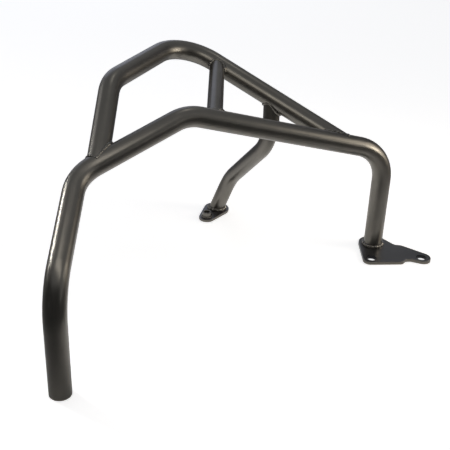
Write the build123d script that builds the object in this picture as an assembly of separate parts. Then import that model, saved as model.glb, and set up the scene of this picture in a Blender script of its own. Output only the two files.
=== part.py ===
from build123d import *
from math import cos, pi, sin, sqrt
import os

os.makedirs("parts", exist_ok=True)

# One side of a motorcycle's crash bars, welded from bent round tube and flat plate, in millimetres.
# +Z is up as the bar stands on its two plates and its open tube end, which all meet the ground at z = 0.
# The origin is midway between the side plate's two bolt holes, on the plate's underside.
# X runs through the two holes.

# Tube stock, and the bender's radius at a tube's centre line
bar_diameter = 25.4
bar_wall = 2.0
leg_diameter = 22.0
leg_wall = 2.0
brace_diameter = 20.0
brace_wall = 2.0
bend_radius = 55.0
end_break = 0.5  # chamfer round the bar's open end
cope_gap = 0.1  # room between a coped tube end and the tube that it saddles

# Main bar: rises from its open end, crosses over the top and drops onto the side plate.
# A tube's corners are where its straight runs would meet without the bends.
bar_end_x = -433.0
bar_end_y = -264.5
bar_front_height = 126.5
bar_knee_corner = (-417.5, -120.5, 189.5)
bar_crown_corner = (-292.0, -38.5, 229.5)
bar_rear_height = 148.0
bar_seat_x = -25.0
bar_seat_y = 38.5

# Hoop: leaves the bar past its knee corner and comes back to it past its crown corner
hoop_front_reach = 27.5
hoop_front_corner = (-383.0, 2.0, 256.0)
hoop_rear_corner = (-294.5, 151.5, 260.5)
hoop_rear_reach = 225.0

# Cross brace: from the hoop, past its rear corner, to the bar, past its crown corner
brace_hoop_reach = 61.0
brace_bar_reach = 36.0

# Rear leg: hangs from the hoop, past its rear corner, and ends on the foot plate
leg_hoop_reach = 150.0
leg_top_step = (-0.6, -15.2, -57.0)  # from the hoop's centre line to the leg's upper corner
leg_low_step = (18.5, -5.5, 52.5)  # from the leg's seat to its lower corner
leg_seat_x = -238.5
leg_seat_y = 151.0

# Side plate: a head round the bar's seat, a body over the left bolt hole and an ear round the right one
side_plate_thickness = 5.0
bolt_spacing = 70.0
bolt_hole_diameter = 13.0
head_above_seat = 23.0
head_left_of_seat = 17.5
head_right_of_seat = 13.0
head_round = 20.0
neck_right_of_seat = 30.5
neck_below_seat = 2.5
neck_round = 8.0
body_left_of_hole = 12.5
body_below_holes = 10.5
body_length = 54.0
body_round = 10.0
notch_depth = 7.0
notch_start = 22.0  # from the right hole back to the notch's left corner
notch_width = 6.5
notch_round = 6.0
ear_beyond_hole = 13.0
ear_below_holes = 17.0
ear_above_holes = 6.5
ear_round = 11.0
shoulder_before_hole = 19.5
shoulder_above_holes = 33.5

# Foot plate, and the spacer bush on it at a step from the leg's seat
foot_plate_thickness = 4.0
heel_radius = 18.5  # round the leg's seat
toe_radius = 11.5  # round the bush
bush_step_x = -16.0
bush_step_y = -27.0
bush_diameter = 13.0
bush_bore = 8.5
bush_height = 8.0
bush_chamfer = 0.6
plate_edge_round = 0.6

# Weld beads: a round bar of filler laid along the seam. Between two tubes it is full where their walls
# meet square, and thins until it is nearly flush where they run into each other. On a plate it stands
# higher than it is wide.
bead_radius = 3.0
bush_bead_radius = 2.0
bead_off_walls = 0.3
flush_bead_radius = 1.3
flush_bead_height = 0.8
plate_bead_width = 2.5
plate_bead_height = 4.5
bush_bead_width = 1.8
bush_bead_height = 2.8
half_bead = 8  # ripples along half of a bead's seam


def way(start, end):
    """The direction from start to end."""
    return (Vector(end) - Vector(start)).normalized()


def along(start, end, distance):
    """The point at a distance from start towards end."""
    return Vector(start) + way(start, end) * distance


def bent_path(*corners):
    """A tube's centre line: straight runs between the corners, with the bender's radius at each bend."""
    return FilletPolyline(*corners, radius=bend_radius)


def rod(path, radius):
    """A solid round bar along a path, as a cutter or a tube's outside."""
    return sweep(Plane(path @ 0, z_dir=path % 0) * Circle(radius), path=path)


def tube(path, diameter, wall):
    """A round tube along a path, open at both ends."""
    section = Circle(diameter / 2) - Circle(diameter / 2 - wall)
    return sweep(Plane(path @ 0, z_dir=path % 0) * section, path=path)


def sides_of(branch_way):
    """Directions straight out from a branch's axis, evenly round it."""
    across = Plane((0, 0, 0), z_dir=branch_way)
    turns = [pi * step / half_bead for step in range(2 * half_bead)]
    return [across.x_dir * cos(turn) + across.y_dir * sin(turn) for turn in turns]


def saddle_point(side, branch_way, base_way, base_radius):
    """Where a line along a branch, a side step from its axis, leaves a base tube whose axis it starts at."""
    rise = branch_way - base_way * branch_way.dot(base_way)
    flat = side - base_way * side.dot(base_way)
    lean = flat.dot(rise)
    reach = sqrt(max(lean**2 - rise.dot(rise) * (flat.dot(flat) - base_radius**2), 0))
    return side + branch_way * ((reach - lean) / rise.dot(rise))


def saddle_seam(meeting, branch_way, branch_radius, base_way, base_radius):
    """A bead's middle and radius at points round a coped branch. Both tubes' axes pass the meeting point."""
    points = []
    radii = []
    for side in sides_of(branch_way):
        corner = saddle_point(side * branch_radius, branch_way, base_way, base_radius)
        wall = (corner - base_way * corner.dot(base_way)).normalized()
        flush = max(side.dot(wall), 0)
        off = bead_off_walls + (flush_bead_height - flush_bead_radius - bead_off_walls) * flush
        middle = saddle_point(side * (branch_radius + off), branch_way, base_way, base_radius + off)
        points.append(meeting + middle)
        radii.append(bead_radius + (flush_bead_radius - bead_radius) * flush)
    return points, radii


def plate_seam(seat, branch_way, branch_radius, height):
    """Points round a branch tube where its surface comes down to a level height."""
    points = []
    for side in sides_of(branch_way):
        start = Vector(seat) + side * branch_radius
        points.append(start + branch_way * ((height - start.Z) / branch_way.Z))
    return points


def bead(points, radii):
    """Filler along a closed seam: straight ripples between round sections at its points, in two halves."""
    sections = []
    for index, point in enumerate(points):
        run = way(points[index - 1], points[(index + 1) % len(points)])
        sections.append(Plane(point, z_dir=run) * Circle(radii[index]))
    near = loft(sections[: half_bead + 1], ruled=True)
    far = loft(sections[half_bead:] + sections[:1], ruled=True)
    return near + far


def saddle_weld(meeting, branch_path, branch_radius, branch_way, base_path, base_radius, base_way):
    """The bead round a coped tube end, fitted to the outsides of the two tubes that it joins."""
    seam, radii = saddle_seam(meeting, branch_way, branch_radius, base_way, base_radius)
    return bead(seam, radii) - rod(base_path, base_radius) - rod(branch_path, branch_radius)


def plate_weld(seat, branch, branch_radius, branch_way, plate_top, radius, width, height):
    """The bead round a tube that stands on a plate, by how far it reaches out and up from the corner."""
    seam = plate_seam(seat, branch_way, branch_radius + width - radius, plate_top + height - radius)
    ring = bead(seam, [radius] * len(seam)) - branch
    return split(ring, bisect_by=Plane.XY.offset(plate_top), keep=Keep.TOP)


# Centre lines, each end worked out on the piece that it joins
bar_radius = bar_diameter / 2
leg_radius = leg_diameter / 2
brace_radius = brace_diameter / 2
bar_end = Vector(bar_end_x, bar_end_y, 0)
bar_front_corner = Vector(bar_end_x, bar_end_y, bar_front_height)
bar_rear_corner = Vector(bar_seat_x, bar_seat_y, bar_rear_height)
bar_seat = Vector(bar_seat_x, bar_seat_y, side_plate_thickness)
bar_path = bent_path(bar_end, bar_front_corner, bar_knee_corner, bar_crown_corner, bar_rear_corner, bar_seat)

hoop_front = along(bar_knee_corner, bar_crown_corner, hoop_front_reach)
hoop_rear = along(bar_crown_corner, bar_rear_corner, hoop_rear_reach)
hoop_path = bent_path(hoop_front, hoop_front_corner, hoop_rear_corner, hoop_rear)

brace_top = along(hoop_rear_corner, hoop_rear, brace_hoop_reach)
brace_bottom = along(bar_crown_corner, bar_rear_corner, brace_bar_reach)
brace_path = Line(brace_top, brace_bottom)

leg_top = along(hoop_rear_corner, hoop_rear, leg_hoop_reach)
leg_seat = Vector(leg_seat_x, leg_seat_y, foot_plate_thickness)
leg_top_corner = leg_top + Vector(leg_top_step)
leg_low_corner = leg_seat + Vector(leg_low_step)
leg_past_seat = leg_seat + way(leg_low_corner, leg_seat) * leg_diameter
leg_path = bent_path(leg_top, leg_top_corner, leg_low_corner, leg_past_seat)

# Directions at the joints: along each base tube, and away from the joint along each branch
knee_to_crown = way(bar_knee_corner, bar_crown_corner)
crown_to_rear = way(bar_crown_corner, bar_rear_corner)
hoop_rear_run = way(hoop_rear_corner, hoop_rear)
brace_run = way(brace_top, brace_bottom)

# Tubes, each end coped to the tube that it saddles or cut flat at its plate
bar_cutter = rod(bar_path, bar_radius + cope_gap)
hoop_cutter = rod(hoop_path, bar_radius + cope_gap)
foot_top = Plane.XY.offset(foot_plate_thickness)
bar_tube = tube(bar_path, bar_diameter, bar_wall)
bar_tube = chamfer(bar_tube.edges().group_by(Axis.Z)[0], end_break)
hoop_tube = tube(hoop_path, bar_diameter, bar_wall) - bar_cutter
cross_brace = tube(brace_path, brace_diameter, brace_wall) - bar_cutter - hoop_cutter
rear_leg = split(tube(leg_path, leg_diameter, leg_wall) - hoop_cutter, bisect_by=foot_top, keep=Keep.TOP)

# Side plate: corners in order round the outline, each with its own round
left_hole_x = -bolt_spacing / 2
right_hole_x = bolt_spacing / 2
body_left_x = left_hole_x - body_left_of_hole
notch_left_x = right_hole_x - notch_start
notch_y = notch_depth - body_below_holes
side_plate_corners = [
    (body_left_x, -body_below_holes, body_round),
    (body_left_x + body_length, -body_below_holes, notch_round),
    (notch_left_x, notch_y, notch_round),
    (notch_left_x + notch_width, notch_y, notch_round),
    (right_hole_x + ear_beyond_hole, -ear_below_holes, ear_round),
    (right_hole_x + ear_beyond_hole, ear_above_holes, ear_round),
    (right_hole_x - shoulder_before_hole, shoulder_above_holes, neck_round),
    (bar_seat_x + neck_right_of_seat, bar_seat_y - neck_below_seat, neck_round),
    (bar_seat_x + head_right_of_seat, bar_seat_y + head_above_seat, head_round),
    (bar_seat_x - head_left_of_seat, bar_seat_y + head_above_seat, head_round),
]
side_outline = FilletPolyline(
    *[(x, y) for x, y, corner_round in side_plate_corners],
    radius=[corner_round for x, y, corner_round in side_plate_corners],
    close=True,
)
side_plate = extrude(make_face(side_outline.edges()), side_plate_thickness)
side_plate = fillet(side_plate.faces().filter_by(Axis.Z).edges(), plate_edge_round)
for hole_x in (left_hole_x, right_hole_x):
    side_plate -= extrude(Pos(hole_x, 0) * Circle(bolt_hole_diameter / 2), side_plate_thickness)

# Foot plate: a pear shape round the leg's seat and the bush, drilled through with the bush
bush_x = leg_seat_x + bush_step_x
bush_y = leg_seat_y + bush_step_y
bush_hole = extrude(Pos(bush_x, bush_y) * Circle(bush_bore / 2), foot_plate_thickness + bush_height)
foot_rounds = Pos(leg_seat_x, leg_seat_y) * Circle(heel_radius) + Pos(bush_x, bush_y) * Circle(toe_radius)
foot_plate = extrude(make_hull(foot_rounds.edges()), foot_plate_thickness)
foot_plate = fillet(foot_plate.faces().filter_by(Axis.Z).edges(), plate_edge_round) - bush_hole
bush_seat = Vector(bush_x, bush_y, foot_plate_thickness)
bush_outside = extrude(Plane(bush_seat) * Circle(bush_diameter / 2), bush_height)
foot_bush = bush_outside - bush_hole
foot_bush = chamfer(foot_bush.edges().group_by(Axis.Z)[-1], bush_chamfer)

# Welds
hoop_front_way = way(hoop_front, hoop_front_corner)
hoop_rear_way = way(hoop_rear, hoop_rear_corner)
leg_top_way = way(leg_top, leg_top_corner)
leg_foot_way = way(leg_seat, leg_low_corner)
up = Vector(0, 0, 1)
bar_outside = (bar_path, bar_radius)
hoop_outside = (hoop_path, bar_radius)
weld_hoop_front = saddle_weld(hoop_front, *hoop_outside, hoop_front_way, *bar_outside, knee_to_crown)
weld_hoop_rear = saddle_weld(hoop_rear, *hoop_outside, hoop_rear_way, *bar_outside, crown_to_rear)
weld_brace_hoop = saddle_weld(brace_top, brace_path, brace_radius, brace_run, *hoop_outside, hoop_rear_run)
weld_brace_bar = saddle_weld(brace_bottom, brace_path, brace_radius, -brace_run, *bar_outside, crown_to_rear)
weld_leg_top = saddle_weld(leg_top, leg_path, leg_radius, leg_top_way, *hoop_outside, hoop_rear_run)
plate_bead = (bead_radius, plate_bead_width, plate_bead_height)
bush_bead = (bush_bead_radius, bush_bead_width, bush_bead_height)
leg_foot_outside = (rod(leg_path, leg_radius), leg_radius)
weld_leg_foot = plate_weld(leg_seat, *leg_foot_outside, leg_foot_way, foot_plate_thickness, *plate_bead)
bar_foot_outside = (rod(bar_path, bar_radius), bar_radius)
weld_side_plate = plate_weld(bar_seat, *bar_foot_outside, up, side_plate_thickness, *plate_bead)
bush_foot_outside = (bush_outside, bush_diameter / 2)
weld_bush = plate_weld(bush_seat, *bush_foot_outside, up, foot_plate_thickness, *bush_bead)

nodes = {
    "bar_tube": bar_tube,
    "hoop_tube": hoop_tube,
    "cross_brace": cross_brace,
    "rear_leg": rear_leg,
    "side_plate": side_plate,
    "foot_plate": foot_plate,
    "foot_bush": foot_bush,
    "weld_hoop_front": weld_hoop_front,
    "weld_hoop_rear": weld_hoop_rear,
    "weld_brace_hoop": weld_brace_hoop,
    "weld_brace_bar": weld_brace_bar,
    "weld_leg_top": weld_leg_top,
    "weld_leg_foot": weld_leg_foot,
    "weld_side_plate": weld_side_plate,
    "weld_bush": weld_bush,
}
for name, solid in nodes.items():
    export_step(solid, f"parts/{name}.step")
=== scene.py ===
import math

import bmesh
import bpy
from mathutils import Matrix, Vector, noise


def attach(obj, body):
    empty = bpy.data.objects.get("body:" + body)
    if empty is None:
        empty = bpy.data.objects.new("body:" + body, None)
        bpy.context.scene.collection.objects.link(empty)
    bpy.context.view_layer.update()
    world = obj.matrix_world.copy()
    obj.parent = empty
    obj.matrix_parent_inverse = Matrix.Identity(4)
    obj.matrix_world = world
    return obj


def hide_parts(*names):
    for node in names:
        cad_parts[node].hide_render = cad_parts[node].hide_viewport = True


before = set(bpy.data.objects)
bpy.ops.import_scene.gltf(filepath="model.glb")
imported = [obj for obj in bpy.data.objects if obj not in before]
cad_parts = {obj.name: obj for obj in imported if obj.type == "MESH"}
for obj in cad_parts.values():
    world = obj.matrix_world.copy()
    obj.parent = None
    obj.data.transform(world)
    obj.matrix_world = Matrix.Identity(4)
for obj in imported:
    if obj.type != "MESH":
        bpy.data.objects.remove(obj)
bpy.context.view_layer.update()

# Main bar: the long steel tube that takes the fall, bent four times, open at its front end.
# Drawn round tube, bent cold on a mandrel, then coated with the whole welded frame.
mm = 0.001
tube_coat_dark = "#74716a"
tube_coat_light = "#7e7a73"
flake_colour = "#8c8982"


def linear(hex_colour):
    """An sRGB hex colour as linear RGBA."""
    parts = [int(hex_colour[at : at + 2], 16) / 255 for at in (1, 3, 5)]
    return [p / 12.92 if p <= 0.04045 else ((p + 0.055) / 1.055) ** 2.4 for p in parts] + [1.0]


def add(tree, kind, inputs=None, **settings):
    """Adds a node with its settings. An input takes a value, or another node's output that it follows."""
    node = tree.nodes.new("ShaderNode" + kind)
    for name, value in settings.items():
        setattr(node, name, value)
    for name, value in (inputs or {}).items():
        if isinstance(value, bpy.types.NodeSocket):
            tree.links.new(value, node.inputs[name])
        else:
            node.inputs[name].default_value = value
    return node


def powder_coat(name, dark, light, peel_size, peel_height, rough_low, rough_high):
    """Baked metallic powder coat: flakes give a grey, metal-like sheen under a satin resin skin.
    The eye gets broad soft highlights, faint clouds where the powder lay thicker, and a fine orange peel."""
    cloud_size = 45 * mm
    mottle_size = 7 * mm
    flake_size = 0.6 * mm  # the real flakes are a tenth of this, too fine to show
    flake_share = 0.16
    flake_strength = 0.06
    noise_range = {"From Min": 0.3, "From Max": 0.7}  # where most of the noise lies
    material = bpy.data.materials.new(name)
    material.use_nodes = True
    tree = material.node_tree
    tree.nodes.clear()
    place = add(tree, "TexCoord").outputs["Object"]
    cloud = add(tree, "TexNoise", {
        "Vector": place, "Scale": 1 / cloud_size, "Detail": 3.0, "Roughness": 0.55,
    })
    mottle = add(tree, "TexNoise", {"Vector": place, "Scale": 1 / mottle_size, "Detail": 2.0})
    flakes = add(tree, "TexVoronoi", {"Vector": place, "Scale": 1 / flake_size})
    glint = add(tree, "SeparateColor", {"Color": flakes.outputs["Color"]})
    bright = add(tree, "MapRange", {
        "Value": glint.outputs["Red"], "From Min": 1 - flake_share, "From Max": 1.0,
        "To Min": 0.0, "To Max": flake_strength,
    })
    thick = add(tree, "MapRange", {"Value": cloud.outputs["Fac"], **noise_range})
    resin = add(tree, "Mix", {
        0: thick.outputs["Result"], 6: linear(dark), 7: linear(light),
    }, data_type="RGBA")
    flaked = add(tree, "Mix", {
        0: bright.outputs["Result"], 6: resin.outputs[2], 7: linear(flake_colour),
    }, data_type="RGBA")
    satin = add(tree, "MapRange", {
        "Value": mottle.outputs["Fac"], **noise_range, "To Min": rough_low, "To Max": rough_high,
    })
    peel = add(tree, "TexNoise", {
        "Vector": place, "Scale": 1 / peel_size, "Detail": 1.5, "Roughness": 0.4,
    })
    skin = add(tree, "Bump", {"Height": peel.outputs["Fac"], "Distance": peel_height, "Strength": 1.0})
    coat = add(tree, "BsdfPrincipled", {
        "Base Color": flaked.outputs[2],
        "Metallic": 0.95,
        "Roughness": satin.outputs["Result"],
        "Normal": skin.outputs["Normal"],
        "Coat Weight": 0.08,
        "Coat Roughness": 0.16,
    })
    add(tree, "OutputMaterial", {"Surface": coat.outputs["BSDF"]})
    return material


def finish(material, *names):
    """Gives a finish to CAD pieces that keep their own mesh."""
    for name in names:
        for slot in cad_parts[name].material_slots:
            slot.material = material


tube_coat = powder_coat(
    "powder coat on drawn tube", tube_coat_dark, tube_coat_light,
    peel_size=1.8 * mm, peel_height=0.003 * mm, rough_low=0.29, rough_high=0.34,
)
finish(tube_coat, "bar_tube")

# Hoop, cross brace and rear leg: the same kind of tube in two bends, a straight strut, and a bent leg.
# Each end is coped to saddle the tube that it meets, or cut flat where it stands on its plate.
finish(tube_coat, "hoop_tube", "cross_brace", "rear_leg")

# Side plate and foot plate: flat steel cut by laser, which leaves fine upright lines on the edges.
# The tubes stand on them, and the frame is bolted to the motorcycle through them.
plate_coat_dark = "#737272"
plate_coat_light = "#7c7b7b"
warm_edge_reflection_colour = "#736f67"  # painted reflection: upright faces get a warmer tone standing in for the warm table they mirror
cut_spacing = 0.8 * mm  # the real lines lie closer, too fine to show
cut_depth = 0.03 * mm
cut_stretch = (1.0, 1.0, 0.06)  # draws the noise out into upright lines
edge_slope = {"From Min": 0.1, "From Max": 0.4}  # how far a face may tip from upright and count as edge
bolt_from_middle = 35 * mm
bolt_hole_radius = 6.5 * mm
painted_hole_shade_colour = "#2b2b2d"  # painted shade: the hole walls are darkened to stand in for the shade down the holes
hole_rim_start = 0.1 * mm
hole_rim_end = 0.8 * mm
plate_coat = powder_coat(
    "powder coat on laser-cut plate", plate_coat_dark, plate_coat_light,
    peel_size=2.2 * mm, peel_height=0.005 * mm, rough_low=0.29, rough_high=0.34,
)
tree = plate_coat.node_tree
coat = tree.nodes["Principled BSDF"]
place = add(tree, "TexCoord").outputs["Object"]

facing = add(tree, "SeparateXYZ", {"Vector": add(tree, "NewGeometry").outputs["Normal"]})
slope = add(tree, "Math", {0: facing.outputs["Z"]}, operation="ABSOLUTE")
on_edge = add(tree, "MapRange", {
    "Value": slope.outputs[0], **edge_slope, "To Min": 1.0, "To Max": 0.0,
})
upright = add(tree, "Mapping", {"Vector": place, "Scale": cut_stretch})
lines = add(tree, "TexNoise", {
    "Vector": upright.outputs["Vector"], "Scale": 1 / cut_spacing, "Detail": 1.0,
})
ridges = add(tree, "Math", {
    0: lines.outputs["Fac"], 1: on_edge.outputs["Result"],
}, operation="MULTIPLY")
cut_lines = add(tree, "Bump", {
    "Height": ridges.outputs[0], "Distance": cut_depth, "Strength": 1.0,
    "Normal": coat.inputs["Normal"].links[0].from_socket,
})
tree.links.new(cut_lines.outputs["Normal"], coat.inputs["Normal"])

# Painted shade: round the bolt holes the coat is darkened, standing in for the shade down the holes.
flat = add(tree, "VectorMath", {0: place, 1: (1, 1, 0)}, operation="MULTIPLY")
folded = add(tree, "VectorMath", {0: flat.outputs[0]}, operation="ABSOLUTE")
off_axis = add(tree, "VectorMath", {
    0: folded.outputs[0], 1: (bolt_from_middle, 0, 0),
}, operation="DISTANCE")
hole_shade_mask = add(tree, "MapRange", {
    "Value": off_axis.outputs["Value"], "From Min": bolt_hole_radius + hole_rim_start,
    "From Max": bolt_hole_radius + hole_rim_end, "To Min": 1.0, "To Max": 0.0,
})
# Painted reflection: upright faces are warmed, standing in for the warm table they mirror.
edges_painted_warm = add(tree, "Mix", {
    0: on_edge.outputs["Result"], 6: coat.inputs["Base Color"].links[0].from_socket,
    7: linear(warm_edge_reflection_colour),
}, data_type="RGBA")
hole_shaded = add(tree, "Mix", {
    0: hole_shade_mask.outputs["Result"], 6: edges_painted_warm.outputs[2], 7: linear(painted_hole_shade_colour),
}, data_type="RGBA")
tree.links.new(hole_shaded.outputs[2], coat.inputs["Base Color"])
finish(plate_coat, "side_plate", "foot_plate")

# Spacer bush: a short steel ring, turned and bored, that holds the bolt's head off the foot plate.
# It is welded on over the plate's hole and coated with the rest.
finish(tube_coat, "foot_bush")

# Welds: steel filler laid in steps round each joint, so a bead is a row of overlapping crescents.
# Full where two walls meet square, thinned until it is nearly flush where they run into each other.
bar_radius = 12.7 * mm
leg_radius = 11.0 * mm
brace_radius = 10.0 * mm
bush_radius = 6.5 * mm
bead_radius = 3.0 * mm
bead_off_walls = 0.3 * mm
flush_radius = 1.3 * mm
flush_height = 0.8 * mm
ripple_pitch = 4.0 * mm
ripple_depth = 0.7 * mm
ripple_level = 0.6  # the part of a ripple's depth that lies under the bead's own radius
ripple_bow = 0.8
wander_size = 4.0 * mm
wander = 1.0 * mm
saddle_lumps = 0.6
leg_top_lumps = 0.2
plate_lumps = 1.0
bush_lumps = 0.7
buried_from = 0.3
buried_share = 0.3
plate_bead_width = 2.5 * mm
plate_bead_height = 4.5 * mm
bush_bead_radius = 2.0 * mm
bush_bead_width = 1.8 * mm
bush_bead_height = 2.8 * mm
hoop_front_past_knee = 27.5 * mm
hoop_rear_past_crown = 225 * mm
brace_past_crown = 36 * mm
brace_past_hoop_bend = 61 * mm
leg_past_hoop_bend = 150 * mm
up = Vector((0, 0, 1))
weld_coat = powder_coat(
    "powder coat over weld bead", tube_coat_dark, tube_coat_light,
    peel_size=1.4 * mm, peel_height=0.010 * mm, rough_low=0.12, rough_high=0.20,
)


def point(x, y, z):
    """A place on the frame, given in millimetres."""
    return Vector((x, y, z)) * mm


def way(start, end):
    """The direction from start to end."""
    return (end - start).normalized()


def sideways(branch_way, turn):
    """A direction straight out from a branch's axis, at a turn round it."""
    across = branch_way.orthogonal().normalized()
    return across * math.cos(turn) + branch_way.cross(across) * math.sin(turn)


def saddle_point(side, branch_way, base_way, base_radius):
    """Where a line along a branch, a side step from its axis, leaves a base tube whose axis it starts at."""
    rise = branch_way - base_way * branch_way.dot(base_way)
    flat = side - base_way * side.dot(base_way)
    lean = flat.dot(rise)
    reach = math.sqrt(max(lean**2 - rise.dot(rise) * (flat.dot(flat) - base_radius**2), 0))
    return side + branch_way * ((reach - lean) / rise.dot(rise))


def saddle_seam(meeting, branch_way, branch_radius, base_way, base_radius):
    """A bead round a coped branch: at a turn, its middle, its radius and the way that it faces."""

    def at(turn):
        side = sideways(branch_way, turn)
        corner = saddle_point(side * branch_radius, branch_way, base_way, base_radius)
        wall = (corner - base_way * corner.dot(base_way)).normalized()
        flush = max(side.dot(wall), 0)
        off = bead_off_walls + (flush_height - flush_radius - bead_off_walls) * flush
        middle = saddle_point(side * (branch_radius + off), branch_way, base_way, base_radius + off)
        radius = bead_radius + (flush_radius - bead_radius) * flush
        return meeting + middle, radius, (side + wall).normalized()

    return at


def plate_seam(seat, branch_way, branch_radius, radius, width, height):
    """A bead round a branch that stands on a plate, by how far it reaches out and up from the corner."""

    def at(turn):
        side = sideways(branch_way, turn)
        start = seat + side * (branch_radius + width - radius)
        middle = start + branch_way * ((seat.z + height - radius - start.z) / branch_way.z)
        return middle, radius, (side + up).normalized()

    return at


def bead(node, seam, lumps):
    """A round bar of filler spun into a ring, then laid along a seam with the ripples of the weld."""
    ring_radius = 3.0  # of the ring before it is laid, whose section has a radius of 1
    section_steps = 20
    steps_per_ripple = 8
    length_steps = 90
    small_turn = 0.02
    full_turn = 2 * math.pi
    merge_distance = 1e-5
    samples = [seam(full_turn * step / length_steps)[0] for step in range(length_steps)]
    length = sum((samples[step] - samples[step - 1]).length for step in range(length_steps))
    steps = round(length / ripple_pitch) * steps_per_ripple
    shape = bmesh.new()
    stand = Matrix.Translation((ring_radius, 0, 0)) @ Matrix.Rotation(math.pi / 2, 4, "X")
    bmesh.ops.create_circle(shape, segments=section_steps, radius=1, matrix=stand)
    bmesh.ops.spin(
        shape, geom=shape.edges[:], cent=(0, 0, 0), axis=(0, 0, 1), angle=full_turn, steps=steps,
        use_merge=True,
    )
    bmesh.ops.remove_doubles(shape, verts=shape.verts, dist=merge_distance)
    laid = {}
    for step in range(steps):
        turn = full_turn * step / steps
        middle, radius, facing = seam(turn)
        run = way(seam(turn - small_turn)[0], seam(turn + small_turn)[0])
        out = (facing - run * facing.dot(run)).normalized()
        laid[step] = (middle, radius, out, run.cross(out))
    for vert in shape.verts:
        turn = math.atan2(vert.co.y, vert.co.x) % full_turn
        step = round(turn * steps / full_turn) % steps
        around = math.atan2(vert.co.z, math.hypot(vert.co.x, vert.co.y) - ring_radius)
        middle, radius, out, across = laid[step]
        crescent = step / steps_per_ripple + ripple_bow * (1 - math.cos(around))
        ripple = ripple_depth * (abs(math.sin(math.pi * crescent)) - ripple_level)
        uneven = wander * noise.noise(middle / wander_size)
        buried = buried_share * max(-math.cos(around) - buried_from, 0)
        reach = radius * (1 - buried) + lumps * (ripple + uneven)
        vert.co = middle + (out * math.cos(around) + across * math.sin(around)) * reach
    bmesh.ops.recalc_face_normals(shape, faces=shape.faces)
    mesh = bpy.data.meshes.new(node + "_bead")
    shape.to_mesh(mesh)
    shape.free()
    mesh.shade_smooth()
    mesh.materials.append(weld_coat)
    piece = bpy.data.objects.new(node + "_bead", mesh)
    bpy.context.scene.collection.objects.link(piece)
    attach(piece, "root")
    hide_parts(node)


bar_knee = point(-417.5, -120.5, 189.5)
bar_crown = point(-292, -38.5, 229.5)
bar_rear = point(-25, 38.5, 148)
hoop_front_bend = point(-383, 2, 256)
hoop_rear_bend = point(-294.5, 151.5, 260.5)
knee_to_crown = way(bar_knee, bar_crown)
crown_to_rear = way(bar_crown, bar_rear)
hoop_front = bar_knee + knee_to_crown * hoop_front_past_knee
hoop_front_run = way(hoop_front, hoop_front_bend)
hoop_rear = bar_crown + crown_to_rear * hoop_rear_past_crown
hoop_rear_run = way(hoop_rear_bend, hoop_rear)
brace_top = hoop_rear_bend + hoop_rear_run * brace_past_hoop_bend
brace_bottom = bar_crown + crown_to_rear * brace_past_crown
brace_run = way(brace_top, brace_bottom)
leg_top = hoop_rear_bend + hoop_rear_run * leg_past_hoop_bend
leg_top_run = point(-0.6, -15.2, -57).normalized()
leg_seat = point(-238.5, 151, 4)
leg_foot_run = point(18.5, -5.5, 52.5).normalized()
bar_seat = point(-25, 38.5, 5)
bush_seat = point(-254.5, 124, 4)
on_bar_front = (knee_to_crown, bar_radius)
on_bar = (crown_to_rear, bar_radius)
on_hoop = (hoop_rear_run, bar_radius)
on_plate = (bead_radius, plate_bead_width, plate_bead_height)
round_bush = (bush_bead_radius, bush_bead_width, bush_bead_height)
bead("weld_hoop_front", saddle_seam(hoop_front, hoop_front_run, bar_radius, *on_bar_front), saddle_lumps)
bead("weld_hoop_rear", saddle_seam(hoop_rear, -hoop_rear_run, bar_radius, *on_bar), saddle_lumps)
bead("weld_brace_hoop", saddle_seam(brace_top, brace_run, brace_radius, *on_hoop), saddle_lumps)
bead("weld_brace_bar", saddle_seam(brace_bottom, -brace_run, brace_radius, *on_bar), saddle_lumps)
bead("weld_leg_top", saddle_seam(leg_top, leg_top_run, leg_radius, *on_hoop), leg_top_lumps)
bead("weld_leg_foot", plate_seam(leg_seat, leg_foot_run, leg_radius, *on_plate), plate_lumps)
bead("weld_side_plate", plate_seam(bar_seat, up, bar_radius, *on_plate), plate_lumps)
bead("weld_bush", plate_seam(bush_seat, up, bush_radius, *round_bush), bush_lumps)

# Studio: a wide matt white table, turned up at its far edge, in a dim grey room.
# The table and the room show in the coat, and the bar throws its shadow on the table.
floor_radius = 24.0
floor_rim = 5.2
floor_colour = "#f6f4f1"
floor_lift = 0.64
room_colour = "#8e9094"


def seen_directly(tree):
    """1 for what the camera, a gloss or a clear piece looks at, 0 for light that only falls on things."""
    path = add(tree, "LightPath")
    mirror = add(tree, "Math", {
        0: path.outputs["Is Camera Ray"], 1: path.outputs["Is Glossy Ray"],
    }, operation="MAXIMUM")
    return add(tree, "Math", {
        0: mirror.outputs[0], 1: path.outputs["Is Transmission Ray"],
    }, operation="MAXIMUM").outputs[0]


def dish(shape, radius, height):
    """A round sheet on the ground whose edge turns up."""
    edge_steps = 48
    bmesh.ops.create_circle(shape, cap_ends=True, segments=edge_steps, radius=radius)
    edge = bmesh.ops.extrude_edge_only(shape, edges=shape.edges[:])["geom"]
    top = [part for part in edge if isinstance(part, bmesh.types.BMVert)]
    bmesh.ops.translate(shape, verts=top, vec=(0, 0, height))


def staged(name, shape, material):
    """A stage piece from a finished bmesh, which is freed."""
    mesh = bpy.data.meshes.new(name)
    shape.to_mesh(mesh)
    shape.free()
    mesh.materials.append(material)
    piece = bpy.data.objects.new(name, mesh)
    bpy.context.scene.collection.objects.link(piece)
    return piece


table = bpy.data.materials.new("white table")
table.use_nodes = True
tree = table.node_tree
tree.nodes.clear()
matt = add(tree, "BsdfDiffuse", {"Color": linear(floor_colour)})
lift = add(tree, "Math", {0: seen_directly(tree), 1: floor_lift}, operation="MULTIPLY")
glow = add(tree, "Emission", {"Color": linear("#ffffff"), "Strength": lift.outputs[0]})
both = add(tree, "AddShader", {0: matt.outputs[0], 1: glow.outputs[0]})
add(tree, "OutputMaterial", {"Surface": both.outputs[0]})
table.cycles.emission_sampling = "NONE"
shape = bmesh.new()
dish(shape, floor_radius, floor_rim)
staged("floor", shape, table)

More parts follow.
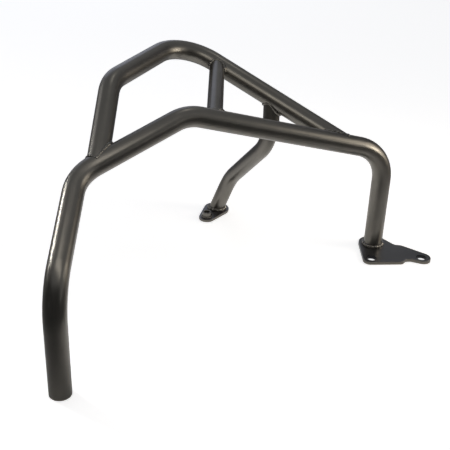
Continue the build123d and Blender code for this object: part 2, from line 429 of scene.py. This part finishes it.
room = bpy.data.worlds.new("grey room")
bpy.context.scene.world = room
room.use_nodes = True
tree = room.node_tree
tree.nodes.clear()
walls = add(tree, "Background", {"Color": linear(room_colour), "Strength": 1.0})
add(tree, "OutputWorld", {"Surface": walls.outputs[0]})

# Round shade sheet, seen only in the coat: painted shade that lies round the bar with a round opening, so
# the coat sees white table only close by.
# It stands in for the table falling into shade away from the lamps, and thins out towards the opening, which
# gives the reflections soft edges.
opening_middle = (-0.17, -0.02, 0.0)
opening_reach = (0.33, 0.31, 1.0)
opening_soft = (0.50, 1.55)
opening_cover = 0.22
round_shade_sheet_radius = 2.6
round_shade_sheet_rim = 0.6
round_shade_sheet_height = 1 * mm
round_shade_sheet_colour = "#9a9a9c"


def matt_sheet(name, colour):
    """Dull matt sheet of painted shade, which shows the coat an even tone."""
    material = bpy.data.materials.new(name)
    material.use_nodes = True
    tree = material.node_tree
    tree.nodes.clear()
    return material, tree, add(tree, "BsdfDiffuse", {"Color": linear(colour)})


def thin_out(tree, sheet_surface, cover):
    """Leaves the sheet closed where its cover is 1 and thins it out to nothing where that is 0."""
    gap = add(tree, "BsdfTransparent")
    cloth = add(tree, "MixShader", {0: cover, 1: gap.outputs[0], 2: sheet_surface.outputs[0]})
    add(tree, "OutputMaterial", {"Surface": cloth.outputs[0]})


def for_coat_only(piece):
    """A sheet of painted shade that only the coat sees: the camera and the table don't see it, and it throws
    no shadow.
    """
    piece.visible_camera = False
    piece.visible_diffuse = False
    piece.visible_shadow = False


round_shade_sheet, tree, sheet_surface = matt_sheet("grey painted shade sheet with a round opening", round_shade_sheet_colour)
place = add(tree, "TexCoord").outputs["Object"]
off = add(tree, "VectorMath", {0: place, 1: opening_middle}, operation="SUBTRACT")
share = add(tree, "VectorMath", {0: off.outputs[0], 1: opening_reach}, operation="DIVIDE")
reach = add(tree, "VectorMath", {0: share.outputs[0]}, operation="LENGTH")
cover = add(tree, "MapRange", {
    "Value": reach.outputs["Value"], "From Min": opening_soft[0], "From Max": opening_soft[1],
    "To Min": opening_cover,
}, interpolation_type="SMOOTHSTEP")
thin_out(tree, sheet_surface, cover.outputs["Result"])
shape = bmesh.new()
dish(shape, round_shade_sheet_radius, round_shade_sheet_rim)
bmesh.ops.translate(shape, verts=shape.verts, vec=(0, 0, round_shade_sheet_height))
for_coat_only(staged("round_shade_sheet", shape, round_shade_sheet))

# Dark shade sheet, seen only in the coat: painted shade hung round the front and the left, and laid on the
# table up to the bar's front foot.
# It stands in for the dark front of the room and the shaded table there, thins out from where it is closed
# to its hem, and gives the tubes their dark side.
hem = [
    (1.6, -0.30), (0.60, -0.15), (0.18, 0.0), (0.05, 0.07), (-0.06, 0.14), (-0.20, 0.06),
    (-0.31, -0.25), (-0.42, -0.20), (-0.46, -0.24), (-0.50, -0.18), (-2.4, -0.10),
]
closed = [
    (1.6, -0.9), (0.60, -0.60), (0.16, -0.46), (0.0, -0.31), (-0.10, -0.22), (-0.18, -0.33),
    (-0.30, -0.50), (-0.42, -0.43), (-0.52, -0.40), (-0.75, -0.48), (-2.4, -0.55),
]
foot = [
    (1.7, -1.9), (1.2, -2.0), (0.7, -2.1), (0.3, -2.1), (-0.1, -2.1), (-0.5, -2.1),
    (-0.9, -2.1), (-1.3, -2.1), (-1.8, -2.0), (-2.3, -1.4), (-2.4, -0.0),
]
dark_shade_sheet_lies = 2 * mm
dark_shade_sheet_height = 2.2
dark_shade_sheet_colour = "#727272"
dark_shade_sheet, tree, sheet_surface = matt_sheet("dark painted shade sheet", dark_shade_sheet_colour)
thin_out(tree, sheet_surface, add(tree, "Attribute", attribute_name="cover").outputs["Fac"])
shape = bmesh.new()
cover = shape.verts.layers.float.new("cover")
rows = [
    (hem, dark_shade_sheet_lies, 0.0), (closed, dark_shade_sheet_lies, 1.0),
    (foot, dark_shade_sheet_lies, 1.0), (foot, dark_shade_sheet_height, 1.0),
]
edge = None
for places, height, share in rows:
    line = []
    for x, y in places:
        vert = shape.verts.new((x, y, height))
        vert[cover] = share
        line.append(vert)
    run = [shape.edges.new(pair) for pair in zip(line, line[1:])]
    if edge:
        bmesh.ops.bridge_loops(shape, edges=edge + run)
    edge = run
for_coat_only(staged("dark_shade_sheet", shape, dark_shade_sheet))

# Grey shade screen, seen only in the coat: a painted shade sheet that stands behind the bar on its right and
# faces it.
# It stands in for a dim back of the room and keeps the coat dull where that mirrors it.
bar_middle = (-0.2, 0.0, 0.12)
screen_middle = (1.10, 1.12, 0.72)
screen_width = 1.4
screen_height = 1.2
screen_shade_colour = "#a2a2a6"


def set_up(place, aim):
    """Stands something at a place, turned to face an aim."""
    facing = (Vector(place) - Vector(aim)).to_track_quat("Z", "Y").to_matrix().to_4x4()
    return Matrix.Translation(place) @ facing


screen_shade_sheet, tree, sheet_surface = matt_sheet("grey painted shade screen", screen_shade_colour)
add(tree, "OutputMaterial", {"Surface": sheet_surface.outputs[0]})
shape = bmesh.new()
stretch = Matrix.Diagonal((screen_width, screen_height, 1, 1))
stand = set_up(screen_middle, bar_middle) @ stretch
bmesh.ops.create_grid(shape, x_segments=1, y_segments=1, size=0.5, matrix=stand)
for_coat_only(staged("grey_shade_screen", shape, screen_shade_sheet))

# Softboxes: lamps behind white cloth, each hung at its own place and turned to its own aim.
# Two have a honeycomb grid in front, which narrows their light.
past_the_bar = (-0.04, 0.19, 0.15)
front_bend = (-0.445, -0.275, 0.06)
open_front = 180
honeycomb = 64
fine_honeycomb = 15
softboxes = [
    # name, place, aim, spread, width, height, brightness, colour
    ("left_strip", (-1.175, 0.385, 0.445), front_bend, fine_honeycomb, 0.20, 0.14, 0.80, "#fffefb"),
    ("left_panel", (-1.30, 0.47, 0.58), bar_middle, open_front, 0.55, 0.75, 0.68, "#fdfdff"),
    ("right_box", (0.50, -0.06, 0.28), past_the_bar, honeycomb, 0.26, 0.18, 1.40, "#fff6e8"),
    ("right_panel", (0.55, 0.11, 0.29), bar_middle, open_front, 0.26, 0.50, 1.1, "#fff2e0"),
    ("high_right_panel", (0.55, -0.09, 0.56), bar_middle, open_front, 0.42, 0.22, 1.4, "#fff6e8"),
    ("front_top_box", (-0.33, -0.27, 0.52), bar_middle, open_front, 0.42, 0.20, 1.4, "#fffbf4"),
    ("back_top_box", (0.157, 0.80, 2.00), bar_middle, open_front, 0.30, 0.30, 2.5, "#fffdf8"),
    ("back_window", (-0.75, 2.00, 1.00), bar_middle, open_front, 1.40, 1.40, 0.45, "#d3deff"),
]
for name, place, aim, spread, width, height, brightness, colour in softboxes:
    lamp = bpy.data.lights.new(name, "AREA")
    lamp.shape = "RECTANGLE"
    lamp.size = width
    lamp.size_y = height
    lamp.spread = math.radians(spread)
    lamp.energy = brightness * math.pi * width * height
    lamp.color = linear(colour)[:3]
    holder = bpy.data.objects.new(name, lamp)
    holder.matrix_world = set_up(place, aim)
    holder.visible_camera = False
    bpy.context.scene.collection.objects.link(holder)

# Camera: stands where the photographer stood, to the bar's front and a little above it.
# It looks down on the bar with a slight roll, through a short telephoto lens.
camera_place = Vector((-0.33086, -0.99584, 0.61422))
camera_bearing = math.radians(5.298)
camera_dip = math.radians(29.071)
camera_roll = math.radians(2.206)
camera_data = bpy.data.cameras.new("camera")
camera_data.lens = 69.16
camera_data.sensor_width = 36.0
camera = bpy.data.objects.new("camera", camera_data)
camera.matrix_world = (
    Matrix.Translation(camera_place)
    @ Matrix.Rotation(-camera_bearing, 4, "Z")
    @ Matrix.Rotation(math.pi / 2 - camera_dip, 4, "X")
    @ Matrix.Rotation(camera_roll, 4, "Z")
)
bpy.context.scene.collection.objects.link(camera)
bpy.context.scene.camera = camera
bpy.context.scene.view_settings.view_transform = "Standard"
